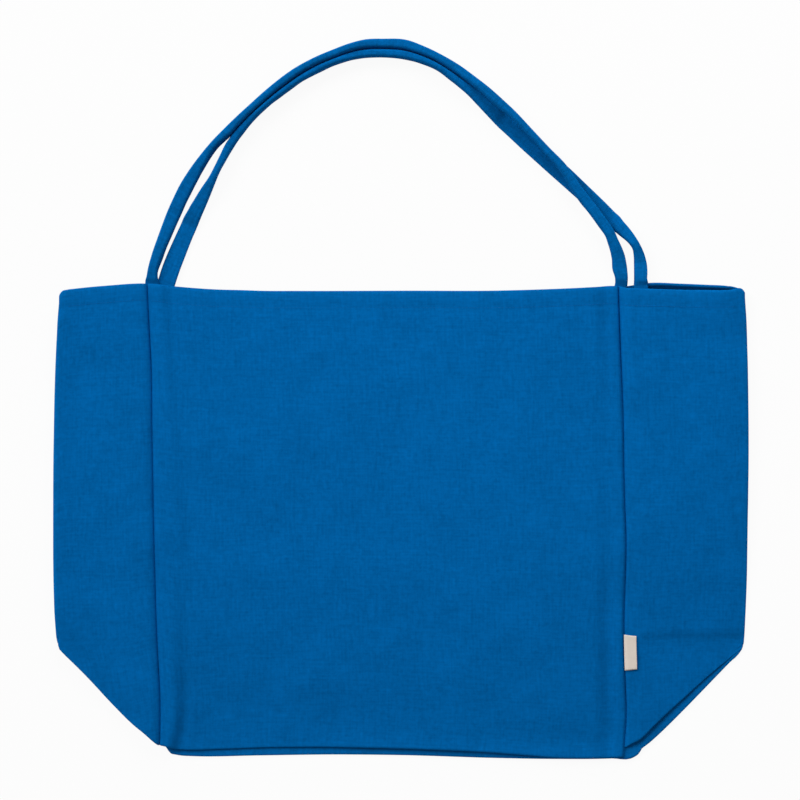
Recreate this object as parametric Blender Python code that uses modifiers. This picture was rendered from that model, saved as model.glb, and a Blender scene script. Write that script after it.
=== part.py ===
"""Cotton tote bag with two handles, laid flat on its back.

Metres, +Z up. X runs across the bag and Y from its base to its handles. The origin is the
middle of the laid bag, on the surface that it lies on. The bag is a box tote: its side
gussets are folded outward, its base is folded up between front and back, and each bottom
corner of a gusset is tucked in along a slanting edge.
"""

import math

import bmesh
import bpy
from mathutils import Vector

# Cloth, as cut and sewn
CLOTH = 0.0009
PANEL_WIDTH = 0.405
PANEL_HEIGHT = 0.404
BAG_DEPTH = 0.200
HEM_DEPTH = 0.017
SEAM_GAP = 0.0003

# Folds, measured to the middle of the cloth, and the flat run left beside a seam
FOLD_RADIUS = 0.002
HEM_RADIUS = 0.0006
EDGE_RUN = 0.0006

# How the bag lies: the back is pushed this far to the right of the front
LAY_SHIFT = 0.019

# Handles: the rise is to the strap's middle at the top of the arch, and the crown is how
# far the strap's edge stands above that
STRAP_WIDTH = 0.014
STRAP_THICKNESS = 0.003
HANDLE_RISE = 0.2075
HANDLE_CROWN = 0.00345
HANDLE_LEAN = -0.005
HANDLE_TAB = 0.015
FLOOR_GAP = 0.0003
ROUTE_STEPS = 3

# Side label, a tape folded double
LABEL_TAPE = 0.0003
LABEL_WIDTH = 0.0103
LABEL_HEIGHT = 0.030
LABEL_RISE = 0.0745

# Routes of the handles from left to right: share of the half width, share of the rise, how
# far the outer edge is turned up in degrees, and the height off the floor in thicknesses
FRONT_ROUTE = (
    (-0.975, 0.117, 55, 0.4),
    (-0.928, 0.262, 50, 0.1),
    (-0.850, 0.433, 46, 0.0),
    (-0.753, 0.575, 56, 0.0),
    (-0.597, 0.739, 64, 0.0),
    (-0.421, 0.878, 68, 0.0),
    (-0.266, 0.962, 68, 0.0),
    (-0.092, 1.000, 68, 0.0),
    (0.113, 0.971, 66, 0.0),
    (0.257, 0.897, 66, 0.0),
    (0.400, 0.800, 72, 0.7),
    (0.493, 0.732, 76, 1.2),
    (0.574, 0.652, 78, 1.2),
    (0.670, 0.555, 74, 1.2),
    (0.732, 0.490, 67, 1.2),
    (0.803, 0.397, 65, 1.2),
    (0.872, 0.312, 65, 1.2),
    (0.925, 0.240, 67, 1.2),
    (0.963, 0.182, 66, 1.0),
    (0.990, 0.115, 56, 0.8),
    (1.002, 0.045, 38, 1.3),
)
BACK_ROUTE = (
    (-0.965, 0.117, 0, 0.4),
    (-0.912, 0.225, 6, 0.0),
    (-0.854, 0.333, 32, 0.0),
    (-0.797, 0.433, 60, 0.0),
    (-0.710, 0.582, 66, 0.0),
    (-0.558, 0.741, 68, 0.0),
    (-0.387, 0.860, 70, 0.0),
    (-0.190, 0.948, 70, 0.0),
    (-0.059, 0.962, 70, 0.0),
    (0.140, 0.919, 72, 0.0),
    (0.263, 0.837, 70, 0.0),
    (0.340, 0.759, 44, 0.0),
    (0.390, 0.707, 12, 0.0),
    (0.454, 0.659, 0, 0.0),
    (0.608, 0.532, 0, 0.0),
    (0.765, 0.389, 0, 0.0),
    (0.888, 0.263, 4, 0.0),
    (0.935, 0.221, 38, 0.0),
    (0.967, 0.191, 58, 0.0),
    (0.995, 0.124, 56, 0.0),
    (0.998, 0.045, 38, 0.1),
)

# Heights of the four layers of cloth at the base, from the front panel down to the back
LAYERS = tuple(CLOTH / 2 + 2 * FOLD_RADIUS * step for step in (3, 2, 1, 0))
SIDE_RADIUS = (LAYERS[0] - LAYERS[3]) / 2
SIDE_X = (PANEL_WIDTH + BAG_DEPTH - math.pi * SIDE_RADIUS) / 2 + SIDE_RADIUS

# Places along the bag: its mouth, its foot, and the top of the base folded up inside
LAID_LENGTH = HANDLE_RISE + HANDLE_CROWN + PANEL_HEIGHT + FOLD_RADIUS + CLOTH / 2
MOUTH_Y = LAID_LENGTH / 2 - HANDLE_RISE - HANDLE_CROWN
FOOT_Y = MOUTH_Y - PANEL_HEIGHT - FOLD_RADIUS
BASE_STRAIGHT = (BAG_DEPTH - 3 * math.pi * FOLD_RADIUS) / 2
TUCK_Y = FOOT_Y + BASE_STRAIGHT + 2 * FOLD_RADIUS

# Sections of a gusset across its width, with the number of steps in each
TURN_STEPS = 4
GUSSET_SECTIONS = (
    ("front", 2),
    ("front_slant", TURN_STEPS),
    ("front_tuck", 2),
    ("turn_over", TURN_STEPS),
    ("back_tuck", 2),
    ("back_slant", TURN_STEPS),
    ("back", 2),
)

CANVAS_BLUE = (0.008, 0.108, 0.362, 1.0)
LABEL_CREAM = (0.78, 0.74, 0.64, 1.0)


def principled(name, colour, roughness):
    """A plain material of one colour."""
    material = bpy.data.materials.new(name)
    material.use_nodes = True
    shader = material.node_tree.nodes["Principled BSDF"]
    shader.inputs["Base Color"].default_value = colour
    shader.inputs["Roughness"].default_value = roughness
    shader.inputs["Metallic"].default_value = 0.0
    material.diffuse_color = colour
    return material


def folded_sheet(name, columns, rows, place, thickness, material, collection):
    """A flat grid whose every vertex is moved to its place in the folded cloth, then thickened.

    place(column, row) gives that point, for the entries of columns and rows.
    """
    bm = bmesh.new()
    last_column, last_row = len(columns) - 1, len(rows) - 1
    bmesh.ops.create_grid(bm, x_segments=last_column, y_segments=last_row, size=1.0)
    for vertex in bm.verts:
        column = columns[round((vertex.co.x + 1) / 2 * last_column)]
        row = rows[round((vertex.co.y + 1) / 2 * last_row)]
        vertex.co = place(column, row)
    mesh = bpy.data.meshes.new(name)
    bm.to_mesh(mesh)
    bm.free()
    mesh.materials.append(material)
    mesh.shade_smooth()
    sheet = bpy.data.objects.new(name, mesh)
    collection.objects.link(sheet)
    solidify = sheet.modifiers.new("cloth", "SOLIDIFY")
    solidify.thickness = thickness
    solidify.offset = 0.0
    solidify.use_quality_normals = True
    return sheet


def seam_x(side, depth):
    """Where a side seam lies: side is -1 or 1, and depth runs from 0, front, to 1, back."""
    return side * PANEL_WIDTH / 2 + (depth - 0.5) * LAY_SHIFT


def hem_rows():
    """Rows up the outside, over the mouth and down the inside of a hem, as (y, inset)."""
    centre = MOUTH_Y - HEM_RADIUS
    rows = []
    for step in range(TURN_STEPS + 1):
        angle = math.pi * step / TURN_STEPS
        rows.append((centre + HEM_RADIUS * math.sin(angle), HEM_RADIUS * (1 - math.cos(angle))))
    rows.append((MOUTH_Y - HEM_DEPTH, 2 * HEM_RADIUS))
    return rows


def make_panel(name, depth, material, collection):
    """The front or back sheet, flat, with its hem turned to the inside of the bag."""
    level, inward = (LAYERS[0], -1) if depth == 0 else (LAYERS[3], 1)
    rows = [(FOOT_Y + FOLD_RADIUS + EDGE_RUN + SEAM_GAP, 0.0)] + hem_rows()

    def place(side, row):
        y, inset = row
        return seam_x(side, depth), y, level + inward * inset

    return folded_sheet(name, (-1, 1), rows, place, CLOTH, material, collection)


def base_rows():
    """The base from its front seam to its back seam, as (depth, y, z)."""
    foot = FOOT_Y + FOLD_RADIUS
    top = TUCK_Y - FOLD_RADIUS
    turns = ((0.0, foot, -1), (0.5, top, 1), (1.0, foot, -1))
    rows = [(0.0, foot + EDGE_RUN, LAYERS[0])]
    for layer, (depth, centre, outward) in enumerate(turns):
        middle = (LAYERS[layer] + LAYERS[layer + 1]) / 2
        for step in range(TURN_STEPS + 1):
            angle = math.pi * step / TURN_STEPS
            y = centre + outward * FOLD_RADIUS * math.sin(angle)
            rows.append((depth, y, middle + FOLD_RADIUS * math.cos(angle)))
    rows.append((1.0, foot + EDGE_RUN, LAYERS[3]))
    return rows


def make_base(material, collection):
    """The bottom strip, folded up between front and back."""

    def place(side, row):
        depth, y, z = row
        return seam_x(side, depth), y, z

    return folded_sheet("base_panel", (-1, 1), base_rows(), place, CLOTH, material, collection)


def gusset_columns():
    """Columns across a gusset from front to back, as (section, share of it, share of the turn)."""
    columns = [("front", 0.0, 0.0)]
    turning = sum(steps for name, steps in GUSSET_SECTIONS if name not in ("front", "back"))
    turned = 0
    for name, steps in GUSSET_SECTIONS:
        for step in range(1, steps + 1):
            if name not in ("front", "back"):
                turned += 1
            columns.append((name, step / steps, turned / turning))
    return columns


def slant(side, depth):
    """The slanting edge of a tucked corner: its lower end, its tip and its inward direction."""
    corner = Vector((seam_x(side, depth) + side * SEAM_GAP, FOOT_Y))
    tip = Vector((side * SIDE_X, TUCK_Y - 2 * FOLD_RADIUS))
    run = (tip - corner).normalized()
    inward = Vector((-side * run.y, abs(run.x)))
    start = (FOLD_RADIUS * run.y + EDGE_RUN) / abs(tip.x - corner.x)
    return corner.lerp(tip, start), tip, inward


def tucked_point(side, column, share):
    """A point of the gusset's lower end, share of the way from the bottom corner to the tip."""
    section, along, _ = column
    depth = 0 if section in ("front", "front_slant", "front_tuck") else 1
    outer, inner = (LAYERS[0], LAYERS[1]) if depth == 0 else (LAYERS[3], LAYERS[2])
    edges = []
    for end in (0, 1):
        low, tip, inward = slant(side, end)
        edges.append((low.lerp(tip, share), inward))
    edge, inward = edges[depth]
    flat_end = edge + inward * FOLD_RADIUS
    top = TUCK_Y - FOLD_RADIUS
    if section in ("front", "back"):
        along = along if depth == 0 else 1 - along
        seam = seam_x(side, depth) + side * SEAM_GAP
        return seam + (flat_end.x - seam) * along, flat_end.y, outer
    if section in ("front_slant", "back_slant"):
        angle = math.pi * (along if depth == 0 else 1 - along)
        point = edge + inward * FOLD_RADIUS * (1 - math.sin(angle))
        z = (outer + inner) / 2 + (outer - inner) / 2 * math.cos(angle)
        return point.x, point.y, z
    top_x = sum(point.x + inward.x * FOLD_RADIUS for point, inward in edges) / 2
    if section in ("front_tuck", "back_tuck"):
        along = along if depth == 0 else 1 - along
        point = flat_end.lerp(Vector((top_x, top)), along)
        return point.x, point.y, inner
    angle = math.pi * along
    middle = (LAYERS[1] + LAYERS[2]) / 2
    return top_x, top + FOLD_RADIUS * math.sin(angle), middle + FOLD_RADIUS * math.cos(angle)


def upright_point(side, column, y, inset):
    """A point of the gusset above the tucked corner, where it is folded once along its middle."""
    section, along, turn = column
    centre = SIDE_X - SIDE_RADIUS
    if section in ("front", "back"):
        depth = 0 if section == "front" else 1
        along = along if depth == 0 else 1 - along
        seam = seam_x(side, depth) + side * SEAM_GAP
        z = LAYERS[0] - inset if depth == 0 else LAYERS[3] + inset
        return seam + (side * centre - seam) * along, y, z
    angle = math.pi * turn
    radius = SIDE_RADIUS - inset
    middle = (LAYERS[0] + LAYERS[3]) / 2
    return side * (centre + radius * math.sin(angle)), y, middle + radius * math.cos(angle)


def make_gusset(name, side, material, collection):
    """A side strip with its tucked lower corner and its hem."""
    rows = [("tucked", share, 0.0) for share in (0.0, 0.3, 0.6, 0.85, 1.0)]
    rows.append(("upright", TUCK_Y + SIDE_RADIUS, 0.0))
    rows += [("upright", y, inset) for y, inset in hem_rows()]

    def place(column, row):
        kind, position, inset = row
        if kind == "tucked":
            return tucked_point(side, column, position)
        return upright_point(side, column, position, inset)

    columns = gusset_columns()
    if side < 0:
        columns.reverse()
    return folded_sheet(name, columns, rows, place, CLOTH, material, collection)


def handle_knots(route, depth, seat):
    """The handle's route with its sewn ends, as (x, y, turn, lift).

    The feet move apart with the panels that they are sewn to, and the tops stay together.
    """
    shift = (depth - 0.5) * LAY_SHIFT
    seat_lift = seat - FLOOR_GAP - STRAP_THICKNESS / 2
    ends = []
    for side in (-1, 1):
        x = HANDLE_LEAN + shift + side * PANEL_WIDTH / 2
        inside = Vector((x, MOUTH_Y - HANDLE_TAB, 0.0, seat_lift))
        at_mouth = Vector((x, MOUTH_Y + CLOTH, 0.0, seat_lift))
        ends.append([inside, at_mouth])
    middle = []
    for across, up, degrees, lift in route:
        x = HANDLE_LEAN + shift * (1 - up) + across * PANEL_WIDTH / 2
        y = MOUTH_Y + up * HANDLE_RISE
        middle.append(Vector((x, y, math.radians(degrees), lift * STRAP_THICKNESS)))
    return ends[0] + middle + ends[1][::-1]


def handle_line(knots):
    """Points of a smooth line through the knots, as (x, y, z, turn)."""
    line = []
    for index in range(len(knots) - 1):
        before = knots[max(index - 1, 0)]
        start, end = knots[index], knots[index + 1]
        after = knots[min(index + 2, len(knots) - 1)]
        for step in range(ROUTE_STEPS):
            t = step / ROUTE_STEPS
            eased = 3 * t**2 - 2 * t**3
            slope = (end - before) * (t**3 - 2 * t**2 + t) / 2 + (after - start) * (t**3 - t**2) / 2
            eased_point = start.lerp(end, eased)
            line.append(Vector((*(eased_point.xy + slope.xy), *eased_point.zw)))
    line.append(knots[-1])
    points = []
    for x, y, turn, lift in line:
        lean = STRAP_WIDTH / 2 * math.sin(turn) + STRAP_THICKNESS / 2 * math.cos(turn)
        points.append((x, y, FLOOR_GAP + lean + lift, turn))
    return points


def strap_section(collection):
    """The handle's cross-section, a flat tube of cloth with its long edges rounded."""
    half_width, half_thickness = STRAP_WIDTH / 2, STRAP_THICKNESS / 2
    curve = bpy.data.curves.new("strap_section", "CURVE")
    curve.dimensions = "2D"
    spline = curve.splines.new("POLY")
    corners = []
    for side in (1, -1):
        for step in range(4):
            angle = math.radians(90 - 60 * step)
            x = half_width - half_thickness + half_thickness * math.cos(angle)
            corners.append((side * x, side * half_thickness * math.sin(angle)))
    spline.points.add(len(corners) - 1)
    for point, (x, y) in zip(spline.points, corners):
        point.co = (x, y, 0.0, 1.0)
    spline.use_cyclic_u = True
    section = bpy.data.objects.new("strap_section", curve)
    section.hide_render = True
    section.display_type = "WIRE"
    collection.objects.link(section)
    return section


def make_handle(name, line, section, material, collection):
    """A handle: the strap section along its route, turning as it goes."""
    curve = bpy.data.curves.new(name, "CURVE")
    curve.dimensions = "3D"
    curve.twist_mode = "Z_UP"
    curve.bevel_mode = "OBJECT"
    curve.bevel_object = section
    curve.use_fill_caps = True
    spline = curve.splines.new("POLY")
    spline.points.add(len(line) - 1)
    for point, (x, y, z, turn) in zip(spline.points, line):
        point.co = (x, y, z, 1.0)
        point.tilt = turn
    curve.materials.append(material)
    handle = bpy.data.objects.new(name, curve)
    collection.objects.link(handle)
    return handle


def make_label(material, collection):
    """The woven tape in the right front seam, folded double over the gusset."""
    left = seam_x(1, 0) + SEAM_GAP
    turn_x = left + LABEL_WIDTH - LABEL_TAPE * 1.5
    lower = LAYERS[0] + CLOTH / 2 + SEAM_GAP + LABEL_TAPE / 2
    columns = [(left, lower + 2 * LABEL_TAPE)]
    for step in range(TURN_STEPS + 1):
        angle = math.pi * step / TURN_STEPS
        z = lower + LABEL_TAPE * (1 + math.cos(angle))
        columns.append((turn_x + LABEL_TAPE * math.sin(angle), z))
    columns.append((left, lower))
    bottom = FOOT_Y + LABEL_RISE

    def place(column, y):
        return column[0], y, column[1]

    rows = (bottom, bottom + LABEL_HEIGHT)
    return folded_sheet("side_label", columns, rows, place, LABEL_TAPE, material, collection)


def main():
    for item in list(bpy.data.objects):
        bpy.data.objects.remove(item, do_unlink=True)
    bag = bpy.data.collections.new("cotton_tote_bag")
    guides = bpy.data.collections.new("guides")
    for collection in (bag, guides):
        bpy.context.scene.collection.children.link(collection)

    canvas = principled("canvas", CANVAS_BLUE, 0.9)
    strap = principled("strap", CANVAS_BLUE, 0.85)
    woven_label = principled("label", LABEL_CREAM, 0.8)

    make_panel("front_panel", 0, canvas, bag)
    make_panel("back_panel", 1, canvas, bag)
    make_gusset("left_gusset", -1, canvas, bag)
    make_gusset("right_gusset", 1, canvas, bag)
    make_base(canvas, bag)
    make_label(woven_label, bag)

    section = strap_section(guides)
    under_hem = CLOTH / 2 + 2 * HEM_RADIUS + SEAM_GAP + STRAP_THICKNESS / 2
    front_line = handle_line(handle_knots(FRONT_ROUTE, 0, LAYERS[0] - under_hem))
    back_line = handle_line(handle_knots(BACK_ROUTE, 1, LAYERS[3] + under_hem))
    make_handle("front_handle", front_line, section, strap, bag)
    make_handle("back_handle", back_line, section, strap, bag)


main()
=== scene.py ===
"""Cotton tote bag, laid flat on its back and seen from straight above.

The panels, side strips and base are made the way the CAD model's are: a flat grid is folded
in plain shapes, and then laid down by one map that bends the folded bag to its real outline,
sinks its middle and draws its seams in. The handles are flat tubes of cloth swept along their
routes. Metres, in the CAD model's frame.
"""

import math

import bpy
import numpy as np
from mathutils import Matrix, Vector, noise


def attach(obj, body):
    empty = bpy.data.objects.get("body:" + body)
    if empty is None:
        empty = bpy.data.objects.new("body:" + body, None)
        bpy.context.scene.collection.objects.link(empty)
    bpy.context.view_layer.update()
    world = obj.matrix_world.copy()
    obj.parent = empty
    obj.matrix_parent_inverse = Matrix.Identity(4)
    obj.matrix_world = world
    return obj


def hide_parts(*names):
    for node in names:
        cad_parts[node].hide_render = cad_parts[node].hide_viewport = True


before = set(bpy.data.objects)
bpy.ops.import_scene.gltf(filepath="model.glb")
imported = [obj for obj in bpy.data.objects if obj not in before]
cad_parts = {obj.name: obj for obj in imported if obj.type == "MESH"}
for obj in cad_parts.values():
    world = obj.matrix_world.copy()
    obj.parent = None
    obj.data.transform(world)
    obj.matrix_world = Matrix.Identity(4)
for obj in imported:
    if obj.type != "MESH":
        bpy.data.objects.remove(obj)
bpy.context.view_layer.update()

MM = 0.001

# Cloth, as cut and sewn
CLOTH = 0.0009
PANEL_WIDTH = 0.405
PANEL_HEIGHT = 0.404
BAG_DEPTH = 0.200
HEM_DEPTH = 0.017
SEAM_GAP = 0.0003

# Folds, measured to the middle of the cloth, the flat run left beside a seam, and how far a
# panel turns in under the foot to the base's seam
FOLD_RADIUS = 0.002
FOLD_ARC = math.pi * FOLD_RADIUS
HEM_RADIUS = 0.0006
EDGE_RUN = 0.0006
SEAM_TURN = 1.45 * FOLD_RADIUS

# How the bag lies: the back is pushed this far to the right of the front, and the front cloth
# sinks this far towards its foot
LAY_SHIFT = 0.019
FOOT_SINK = 0.0048

# Handles, flat tubes of cloth: the rise is to the strap's middle at the top of the arch, and
# the crown is how far the strap's edge stands above that
STRAP_WIDTH = 0.014
STRAP_THICKNESS = 0.003
STRAP_WALL = 0.0007
HANDLE_RISE = 0.2075
HANDLE_CROWN = 0.00345
FLOOR_GAP = 0.0003

# How a strap is bent along its middle: its outer part's tilt and its inner part's hang, in
# degrees. The hang is given left and right of the stretch of x where it changes
TOP_TILT = 5
BEND_LENGTH = 0.0016
FRONT_HANG = (80, 90)
BACK_HANG = (90, 90)
HANG_CHANGE = (0.066, 0.090)

# A strap's unevenness: where it fades at both ends, how thin the strap is pressed there, and
# the heights of its creases and ripples and its sway to the side
STRAP_ENDS = 14 * MM
PRESSED_END = 0.72
CREASE_HEIGHT = 0.38 * MM
RIPPLE_HEIGHT = 0.16 * MM
SWAY = 0.18 * MM

# Side label, a tape folded double: its cloth and place, how far it reaches into the seam and
# stands over the side strip, how far its free corners draw in and its free edge curls and
# waves, and its grid: rows, columns and steps round its fold
LABEL_TAPE = 0.0003
LABEL_WIDTH = 0.0106
LABEL_FOOT = -0.2345
LABEL_HEAD = -0.2035
LABEL_TUCK = 0.3 * MM
LABEL_GAP = 0.3 * MM
LABEL_TAPER = 1.2 * MM
LABEL_CURL = 0.5 * MM
LABEL_WAVE = 0.25 * MM
LABEL_GRID = (26, 12, 6)

# Widths of the worn bands over the mouth, the foot, the side creases and the straps' edges
MOUTH_WEAR = 1.6 * MM
FOOT_WEAR = 2.5 * MM
CREASE_WEAR = 1.5 * MM
STRAP_WEAR = 1.2 * MM

# Stitches of the mouth's hem. They stand a share of their radius over the cloth, and their
# profile gives shares of half the length and of the radius
STITCH_DROP = 0.0146
STITCH_PITCH = 0.0031
STITCH_LENGTH = 0.0023
STITCH_RADIUS = 0.00022
STITCH_STAND = 0.3
STITCH_MARGIN = 4 * MM
STITCH_PROFILE = ((-1, 0.15), (-0.85, 0.7), (-0.4, 1), (0.4, 1), (0.85, 0.7), (1, 0.15))
STITCH_SIDES = 6

# Steps of the cloth's grids: fine ones beside an edge, even ones, and counts round a fold
FINE_ROWS = np.array([0, 0.35, 0.7, 1.1, 1.6, 2.2, 3.0, 4.0, 5.4, 7.0, 9.0]) * MM
PANEL_STEP = 2.6 * MM
GUSSET_STEP = 2.4 * MM
BASE_STEP = 2.2 * MM
BASE_COLUMN = 4 * MM
HEM_STEPS = 8
BASE_FOLD_STEPS = 8
CORNER_TURN_STEPS = 6
CORNER_TUCK_STEPS = 12

# Sections of a side strip from front to back, and the rows of its tucked corner, as shares of
# its slanting edge from below. The rows up to the blend leave the base's edge
GUSSET_SECTIONS = "front front_slant front_tuck turn_over back_tuck back_slant back".split()
CORNER_ROWS = (0, 0.008, 0.018, 0.03, *np.linspace(0.045, 1, 40))
CORNER_BLEND = 0.04

# Steps of a strap along its route, across a face and along a bent section
STRAP_STEP = 1.6 * MM
STRAP_COLUMNS = 22
SECTION_STEPS = 113

# Heights of the four layers of cloth at the base, from the front panel down to the back
LAYERS = tuple(CLOTH / 2 + 2 * FOLD_RADIUS * step for step in (3, 2, 1, 0))
FULL_LOFT = LAYERS[0] - LAYERS[3]
SIDE_RADIUS = FULL_LOFT / 2
SIDE_X = (PANEL_WIDTH + BAG_DEPTH - math.pi * SIDE_RADIUS) / 2 + SIDE_RADIUS

# Places along the bag: its mouth, its foot and the top of the base folded up inside, with the
# length of the base along its folds
LAID_LENGTH = HANDLE_RISE + HANDLE_CROWN + PANEL_HEIGHT + FOLD_RADIUS + CLOTH / 2
MOUTH_Y = LAID_LENGTH / 2 - HANDLE_RISE - HANDLE_CROWN
FOOT_Y = MOUTH_Y - PANEL_HEIGHT - FOLD_RADIUS
BASE_STRAIGHT = (BAG_DEPTH - 3 * math.pi * FOLD_RADIUS) / 2
BASE_END = 3 * math.pi * FOLD_RADIUS + 2 * BASE_STRAIGHT
TUCK_Y = FOOT_Y + BASE_STRAIGHT + 2 * FOLD_RADIUS

# Routes of the straps from left to right, in millimetres: x, y, the width seen from above (the
# rest is bent down along the inside), the lowest point's height, where it isn't 0, and the
# strap's width as a share of its full width, where it isn't 1
FRONT_ROUTE = (
    (-216.5, 84, 14, 4.3, 0.9), (-214.8, 96, 13.5, 3.9, 0.82), (-214.5, 101.2, 12.6, 3.2, 0.83),
    (-214.2, 108.2, 10.9, 1.6, 0.82), (-210.1, 122.9, 10), (-205, 136.8, 10.8),
    (-198.5, 153, 11.8), (-192, 167.9, 11.9), (-181.4, 188.4, 11.6, 0.5),
    (-169.4, 206.8, 8.8, 1.5), (-160.7, 217.9, 7.5, 2.4), (-147.8, 230.5, 8.1, 3.6),
    (-137.2, 241.1, 7.4, 4), (-126.4, 251, 7.4, 4), (-112.7, 263.2, 7.5, 4),
    (-102.7, 271.2, 7.7, 4), (-90, 280.3, 7.7, 4), (-75.2, 288.7, 7.6, 3.6),
    (-57.2, 296.3, 7.7, 3.2), (-41.4, 302.1, 7.6, 3.2), (-30.3, 304.6, 8.4, 3.1),
    (-14.7, 305, 8.9, 3.1), (2.8, 304.1, 9.3, 3.1), (17.4, 299.3, 8.5, 3), (30, 293.6, 8.1, 3),
    (46, 284.3, 8.5, 3.6), (61.9, 272.6, 8.5, 5), (73.8, 263.2, 8.7, 6),
    (86.7, 252.2, 7.6, 5.8), (96.7, 243.5, 6.4, 4.8), (107.3, 232.6, 6.1, 3.6),
    (116.2, 223.2, 6, 3.6), (126.1, 212.6, 6.3, 3.6), (138.3, 199.5, 7.3, 3.6),
    (145.7, 189.2, 8, 3.6), (151.3, 180.2, 8.6, 3.6), (157.9, 171.6, 8.9, 3.6),
    (165.2, 162.4, 9, 3.6), (172.8, 152.1, 8.8, 3.6), (179.9, 141.5, 8.7, 3.3),
    (182.6, 135, 9.2, 3.1), (185.4, 128.3, 10.2, 3), (187.5, 121, 11.5, 2.9),
    (188.2, 112.8, 12.2, 2.8), (189.8, 105, 12.1, 2.5, 0.88), (189.8, 99.6, 12.8, 2.2, 0.77),
    (189.6, 96, 13.6, 2.1, 0.78), (189.8, 84, 14, 2.1, 0.9),
)
BACK_ROUTE = (
    (-206.6, 84, 14, 1.4, 1.1), (-203.2, 98, 14, 1.4, 1.1), (-199.3, 110.7, 14, 0.7, 1.11),
    (-194.6, 123.1, 14, 0, 1.09), (-185, 145.4, 14), (-179.7, 156.2, 12.5), (-174, 167.8, 11.7),
    (-167.9, 179.8, 8.9), (-162.9, 188.8, 6.5), (-157.5, 199.6, 5.6), (-153.4, 207.6, 6.1),
    (-147.3, 218.9, 7.1), (-140.9, 227.6, 6.1), (-133.1, 236.9, 5.3), (-122.9, 247.2, 4),
    (-109, 259, 4.1), (-99.3, 266.4, 4.5), (-86.8, 275.3, 4.5), (-72.6, 283.3, 5),
    (-55.1, 290.9, 4.6), (-39.5, 295.8, 6.2), (-29.5, 297.3, 6.3), (-14.8, 297.5, 6.3),
    (1.3, 296.4, 6.4), (14.8, 292.9, 5.6), (26.9, 288, 4.8), (42.3, 278.5, 5.7),
    (57.7, 266.7, 7.2), (68.8, 257.1, 9.8), (81.2, 246.1, 12.1), (91.7, 237.2, 14, 0, 1.03),
    (106.8, 223.4, 14, 0, 1.05), (123.1, 208.9, 14, 0, 1.08), (140, 193.9, 14, 0, 1.1),
    (156.1, 179.1, 14, 0, 1.04), (164.8, 171.1, 14), (175.2, 160.9, 14), (183.1, 152.8, 12.9),
    (188.3, 148.2, 11.6), (192.8, 143.7, 10.3), (198.4, 137.5, 7.9), (203, 130.4, 7),
    (205.3, 123.7, 8.8), (206.4, 116, 11, 1.2), (206.6, 109, 11.5, 2.8),
    (206.3, 101, 12.4, 5, 0.88), (206.8, 96, 14, 5.5, 0.9), (206.5, 84, 14, 4.6),
)

# Colours, as the cloth shows them in even light
CANVAS_BLUE = (0.0006, 0.109, 0.351)
STRAP_BLUE = (0.0006, 0.103, 0.331)
LABEL_CREAM = (0.69, 0.614, 0.546)

# Weaves: the distance from thread to thread, the depth of the bump and how strongly the
# colour varies
CANVAS_WEAVE = (0.6 * MM, 0.12 * MM, 0.3)
STRAP_WEAVE = (0.6 * MM, 0.12 * MM, 0.4)
TAPE_WEAVE = (0.35 * MM, 0.05 * MM, 0.05)

# Studio: the floor, the white that the camera sees and its share over the lit floor, the
# world's light, and the lamps as name, place, size and power
FLOOR_REACH = 4
FLOOR_LEVEL = -0.0002
FLOOR_GREY = (0.9, 0.9, 0.9, 1)
SEEN_WHITE = 0.985
WHITE_SHARE = 0.95
WORLD_LEVEL = 0.22
LAMPS = (
    ("key", (-4.5, 3.2, 4), 3.2, 360),
    ("top", (0.4, 1.6, 1.1), 1, 21.5),
    ("fill", (1.9, -0.6, 1.9), 1.6, 5),
)

# Camera, straight above the bag; lens and sensor in millimetres
CAMERA_PLACE = (-0.0009, -0.0013, 1.923)
LENS = 100
SENSOR = 36


def smooth_line(*points):
    """A smooth function through points given in millimetres; it takes and gives metres."""
    places, values = np.array(points, float).T * MM
    slopes = np.gradient(values, places)

    def at(place):
        place = np.clip(place, places[0], places[-1])
        left = np.clip(np.searchsorted(places, place, side="right") - 1, 0, len(places) - 2)
        run = places[left + 1] - places[left]
        t = (place - places[left]) / run
        eased = 3 * t**2 - 2 * t**3
        bend = run * ((t**3 - 2 * t**2 + t) * slopes[left] + (t**3 - t**2) * slopes[left + 1])
        return values[left] + (values[left + 1] - values[left]) * eased + bend

    return at


# Where the laid bag's seams and side creases lie across it, left and right, as (y, x)
FRONT_SEAMS = (
    smooth_line(
        (-310, -208.8), (-290, -207.8), (-264, -207.5), (-212, -209.9), (-155, -211.8),
        (-100, -213), (-35, -214.2), (25, -215), (68, -217.1), (98.5, -218.6),
    ),
    smooth_line(
        (-310, 192.3), (-294, 193.4), (-272, 194.6), (-251, 193.7), (-199, 192.3), (-117, 193.7),
        (-89, 192.6), (-1, 190.9), (36, 189.5), (97, 187.5),
    ),
)
BACK_SEAMS = (
    smooth_line(
        (-308, -198), (-298, -195), (-270, -190), (-250, -190.5), (-150, -189), (-105, -187),
        (-55, -191), (0, -196), (50, -198.7), (98, -202.8),
    ),
    smooth_line((-308, 207.5), (-150, 206.5), (0, 205.5), (98, 204.5)),
)
CREASES = (
    smooth_line(
        (-230, -290), (-217.7, -294), (-214, -295.4), (-209, -296.5), (-199, -297.3),
        (-166, -298.6), (-110, -299.1), (-70, -299), (-18, -298.4), (20, -297.6), (59, -296.1),
        (85, -294.6), (91, -294),
    ),
    smooth_line(
        (-230, 291), (-217.7, 294.3), (-214, 295.6), (-209, 296.2), (-199, 296.7), (-160, 298.2),
        (-110, 298.8), (-45, 299.5), (-1, 299.2), (46, 298.5), (72, 297.7), (93, 296.3),
    ),
)

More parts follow.
